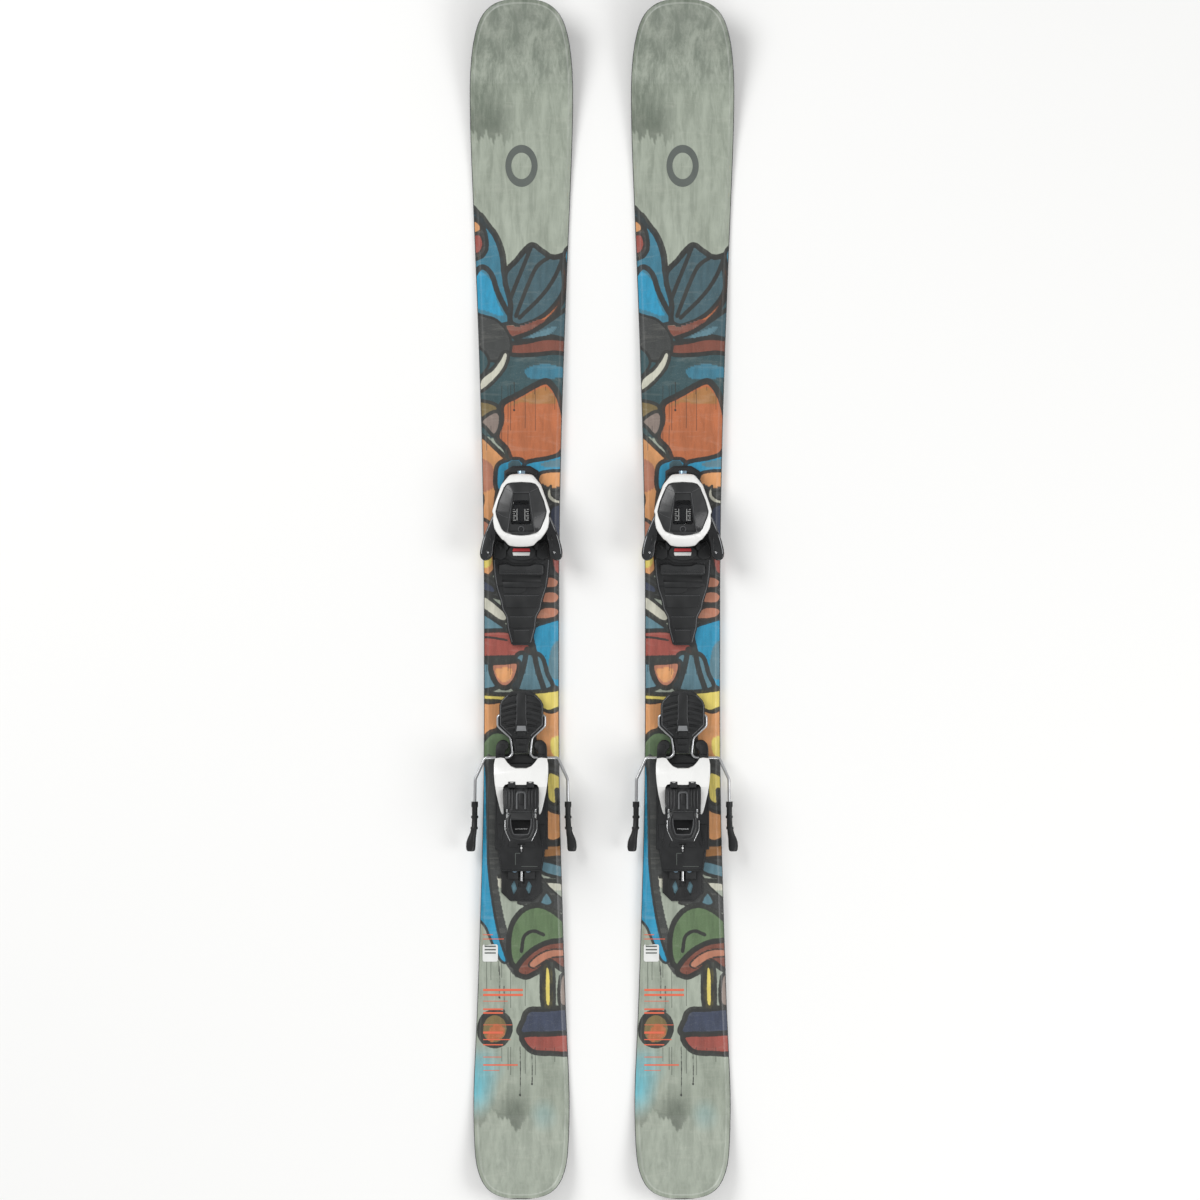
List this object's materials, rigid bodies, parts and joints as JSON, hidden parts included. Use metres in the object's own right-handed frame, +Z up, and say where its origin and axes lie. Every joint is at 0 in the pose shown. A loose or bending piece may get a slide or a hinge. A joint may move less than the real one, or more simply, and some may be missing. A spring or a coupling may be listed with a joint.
{
  "type": "pair of alpine skis with bindings",
  "caption": "Pair of junior twin-tip alpine skis with step-in toe and heel bindings, release springs, sliding heel track and ski brakes.",
  "frame": {"origin": "on the ground, midway between the two skis, at half their length", "axes": "+Z up, +Y towards the ski tips, +X to the right"},
  "size_m": [0.2956, 1.3, 0.0889],
  "materials": {
    "running_base": "waxed sintered polyethylene",
    "edge_steel": "ground steel edge",
    "core_wood": "laminated wood and foam",
    "topsheet": "printed topsheet, satin lacquer",
    "screw_steel": "zinc plated",
    "spring_steel": "spring wire",
    "bright_steel": "bright drawn steel",
    "black_plastic": "moulded nylon, fine grain",
    "cover_plastic": "moulded nylon, satin",
    "white_plastic": "moulded, satin gloss",
    "scale_plastic": "printed scale",
    "clear_window": "clear polycarbonate"
  },
  "bodies": {
    "left_ski": {"left_running_base": "running_base", "left_steel_edges": "edge_steel", "left_core": "core_wood", "left_cap_topsheet": "topsheet", "left_mounting_screws": "screw_steel", "left_toe_baseplate": "black_plastic", "left_toe_housing": "white_plastic", "left_toe_cover": "cover_plastic", "left_toe_window": "clear_window", "left_toe_spring": "spring_steel", "left_toe_wing_pins": "screw_steel", "left_heel_track": "black_plastic"},
    "left_toe_wing_l": {"left_toe_wing_left": "black_plastic"},
    "left_toe_wing_r": {"left_toe_wing_right": "black_plastic"},
    "left_afd": {"left_afd_slider": "black_plastic"},
    "left_toe_screw": {"left_toe_adjust_screw": "screw_steel"},
    "left_toe_scale": {"left_toe_indicator": "scale_plastic"},
    "left_heel_base": {"left_heel_carriage": "black_plastic", "left_heel_bracket": "bright_steel", "left_heel_axle_pins": "screw_steel", "left_brake_base": "black_plastic"},
    "left_length_worm": {"left_length_screw": "screw_steel"},
    "left_heel_jaw": {"left_heel_shell": "white_plastic", "left_heel_spring": "spring_steel"},
    "left_heel_release": {"left_heel_lever": "black_plastic"},
    "left_heel_screw": {"left_heel_adjust_screw": "screw_steel"},
    "left_heel_scale": {"left_heel_indicator": "scale_plastic"},
    "left_brake": {"left_brake_wires": "bright_steel", "left_brake_pedal": "black_plastic", "left_brake_tips": "black_plastic"},
    "right_ski": {"right_running_base": "running_base", "right_steel_edges": "edge_steel", "right_core": "core_wood", "right_cap_topsheet": "topsheet", "right_mounting_screws": "screw_steel", "right_toe_baseplate": "black_plastic", "right_toe_housing": "white_plastic", "right_toe_cover": "cover_plastic", "right_toe_window": "clear_window", "right_toe_spring": "spring_steel", "right_toe_wing_pins": "screw_steel", "right_heel_track": "black_plastic"},
    "right_toe_wing_l": {"right_toe_wing_left": "black_plastic"},
    "right_toe_wing_r": {"right_toe_wing_right": "black_plastic"},
    "right_afd": {"right_afd_slider": "black_plastic"},
    "right_toe_screw": {"right_toe_adjust_screw": "screw_steel"},
    "right_toe_scale": {"right_toe_indicator": "scale_plastic"},
    "right_heel_base": {"right_heel_carriage": "black_plastic", "right_heel_bracket": "bright_steel", "right_heel_axle_pins": "screw_steel", "right_brake_base": "black_plastic"},
    "right_length_worm": {"right_length_screw": "screw_steel"},
    "right_heel_jaw": {"right_heel_shell": "white_plastic", "right_heel_spring": "spring_steel"},
    "right_heel_release": {"right_heel_lever": "black_plastic"},
    "right_heel_screw": {"right_heel_adjust_screw": "screw_steel"},
    "right_heel_scale": {"right_heel_indicator": "scale_plastic"},
    "right_brake": {"right_brake_wires": "bright_steel", "right_brake_pedal": "black_plastic", "right_brake_tips": "black_plastic"}
  },
  "joints": [
    {"name": "left_toe_wing_l_open", "type": "hinge", "parent": "left_ski", "child": "left_toe_wing_l", "pos_m": [-0.1085, 0.088, 0.035], "axis": [0, 0, -1], "range_deg": [0, 30], "stiffness_Nm_per_rad": 2},
    {"name": "left_toe_wing_r_open", "type": "hinge", "parent": "left_ski", "child": "left_toe_wing_r", "pos_m": [-0.0665, 0.088, 0.035], "axis": [0, 0, 1], "range_deg": [0, 30], "stiffness_Nm_per_rad": 2},
    {"name": "left_afd_slide", "type": "slide", "parent": "left_ski", "child": "left_afd", "axis": [1, 0, 0], "range_m": [-0.008, 0.008], "stiffness_N_per_m": 200},
    {"name": "left_toe_screw_turn", "type": "hinge", "parent": "left_ski", "child": "left_toe_screw", "pos_m": [-0.0875, 0.11, 0.036], "axis": [0, 1, 0], "range_deg": [-725, 725]},
    {"name": "left_toe_scale_slide", "type": "slide", "parent": "left_ski", "child": "left_toe_scale", "axis": [0, 1, 0], "range_m": [-0.004, 0.004], "deforming": ["left_toe_spring"]},
    {"name": "left_heel_length_slide", "type": "slide", "parent": "left_ski", "child": "left_heel_base", "axis": [0, 1, 0], "range_m": [-0.015, 0.015]},
    {"name": "left_length_worm_turn", "type": "hinge", "parent": "left_heel_base", "child": "left_length_worm", "pos_m": [-0.0875, -0.275, 0.0163], "axis": [0, 1, 0], "range_deg": [-2730, 2730]},
    {"name": "left_heel_jaw_open", "type": "hinge", "parent": "left_heel_base", "child": "left_heel_jaw", "pos_m": [-0.0875, -0.222, 0.042], "axis": [1, 0, 0], "range_deg": [0, 45]},
    {"name": "left_heel_lever_press", "type": "hinge", "parent": "left_heel_jaw", "child": "left_heel_release", "pos_m": [-0.0875, -0.222, 0.042], "axis": [1, 0, 0], "range_deg": [0, 10]},
    {"name": "left_heel_screw_turn", "type": "hinge", "parent": "left_heel_jaw", "child": "left_heel_screw", "pos_m": [-0.0875, -0.22, 0.044], "axis": [0, 1, 0], "range_deg": [-545, 545]},
    {"name": "left_heel_scale_slide", "type": "slide", "parent": "left_heel_jaw", "child": "left_heel_scale", "axis": [0, 1, 0], "range_m": [-0.003, 0.003], "deforming": ["left_heel_spring"]},
    {"name": "left_brake_swing", "type": "hinge", "parent": "left_heel_base", "child": "left_brake", "pos_m": [-0.0875, -0.1716, 0.021], "axis": [1, 0, 0], "range_deg": [0, 60]},
    {"name": "right_toe_wing_l_open", "type": "hinge", "parent": "right_ski", "child": "right_toe_wing_l", "pos_m": [0.0665, 0.088, 0.035], "axis": [0, 0, -1], "range_deg": [0, 30], "stiffness_Nm_per_rad": 2},
    {"name": "right_toe_wing_r_open", "type": "hinge", "parent": "right_ski", "child": "right_toe_wing_r", "pos_m": [0.1085, 0.088, 0.035], "axis": [0, 0, 1], "range_deg": [0, 30], "stiffness_Nm_per_rad": 2},
    {"name": "right_afd_slide", "type": "slide", "parent": "right_ski", "child": "right_afd", "axis": [1, 0, 0], "range_m": [-0.008, 0.008], "stiffness_N_per_m": 200},
    {"name": "right_toe_screw_turn", "type": "hinge", "parent": "right_ski", "child": "right_toe_screw", "pos_m": [0.0875, 0.11, 0.036], "axis": [0, 1, 0], "range_deg": [-725, 725]},
    {"name": "right_toe_scale_slide", "type": "slide", "parent": "right_ski", "child": "right_toe_scale", "axis": [0, 1, 0], "range_m": [-0.004, 0.004], "deforming": ["right_toe_spring"]},
    {"name": "right_heel_length_slide", "type": "slide", "parent": "right_ski", "child": "right_heel_base", "axis": [0, 1, 0], "range_m": [-0.015, 0.015]},
    {"name": "right_length_worm_turn", "type": "hinge", "parent": "right_heel_base", "child": "right_length_worm", "pos_m": [0.0875, -0.275, 0.0163], "axis": [0, 1, 0], "range_deg": [-2730, 2730]},
    {"name": "right_heel_jaw_open", "type": "hinge", "parent": "right_heel_base", "child": "right_heel_jaw", "pos_m": [0.0875, -0.222, 0.042], "axis": [1, 0, 0], "range_deg": [0, 45]},
    {"name": "right_heel_lever_press", "type": "hinge", "parent": "right_heel_jaw", "child": "right_heel_release", "pos_m": [0.0875, -0.222, 0.042], "axis": [1, 0, 0], "range_deg": [0, 10]},
    {"name": "right_heel_screw_turn", "type": "hinge", "parent": "right_heel_jaw", "child": "right_heel_screw", "pos_m": [0.0875, -0.22, 0.044], "axis": [0, 1, 0], "range_deg": [-545, 545]},
    {"name": "right_heel_scale_slide", "type": "slide", "parent": "right_heel_jaw", "child": "right_heel_scale", "axis": [0, 1, 0], "range_m": [-0.003, 0.003], "deforming": ["right_heel_spring"]},
    {"name": "right_brake_swing", "type": "hinge", "parent": "right_heel_base", "child": "right_brake", "pos_m": [0.0875, -0.1716, 0.021], "axis": [1, 0, 0], "range_deg": [0, 60]},
    {"name": "pair_glide", "type": "slide", "parent": "left_ski", "child": "right_ski", "axis": [0, 1, 0], "range_m": [-0.3, 0.3]}
  ],
  "couplings": [
    {"joint": "left_toe_screw_turn", "follows": "left_toe_scale_slide", "rad_per_m": 3141.6},
    {"joint": "left_length_worm_turn", "follows": "left_heel_length_slide", "rad_per_m": 3141.6},
    {"joint": "left_heel_lever_press", "follows": "left_heel_jaw_open", "ratio": 0.22222},
    {"joint": "left_heel_screw_turn", "follows": "left_heel_scale_slide", "rad_per_m": 3141.6},
    {"joint": "right_toe_screw_turn", "follows": "right_toe_scale_slide", "rad_per_m": 3141.6},
    {"joint": "right_length_worm_turn", "follows": "right_heel_length_slide", "rad_per_m": 3141.6},
    {"joint": "right_heel_lever_press", "follows": "right_heel_jaw_open", "ratio": 0.22222},
    {"joint": "right_heel_screw_turn", "follows": "right_heel_scale_slide", "rad_per_m": 3141.6}
  ]
}
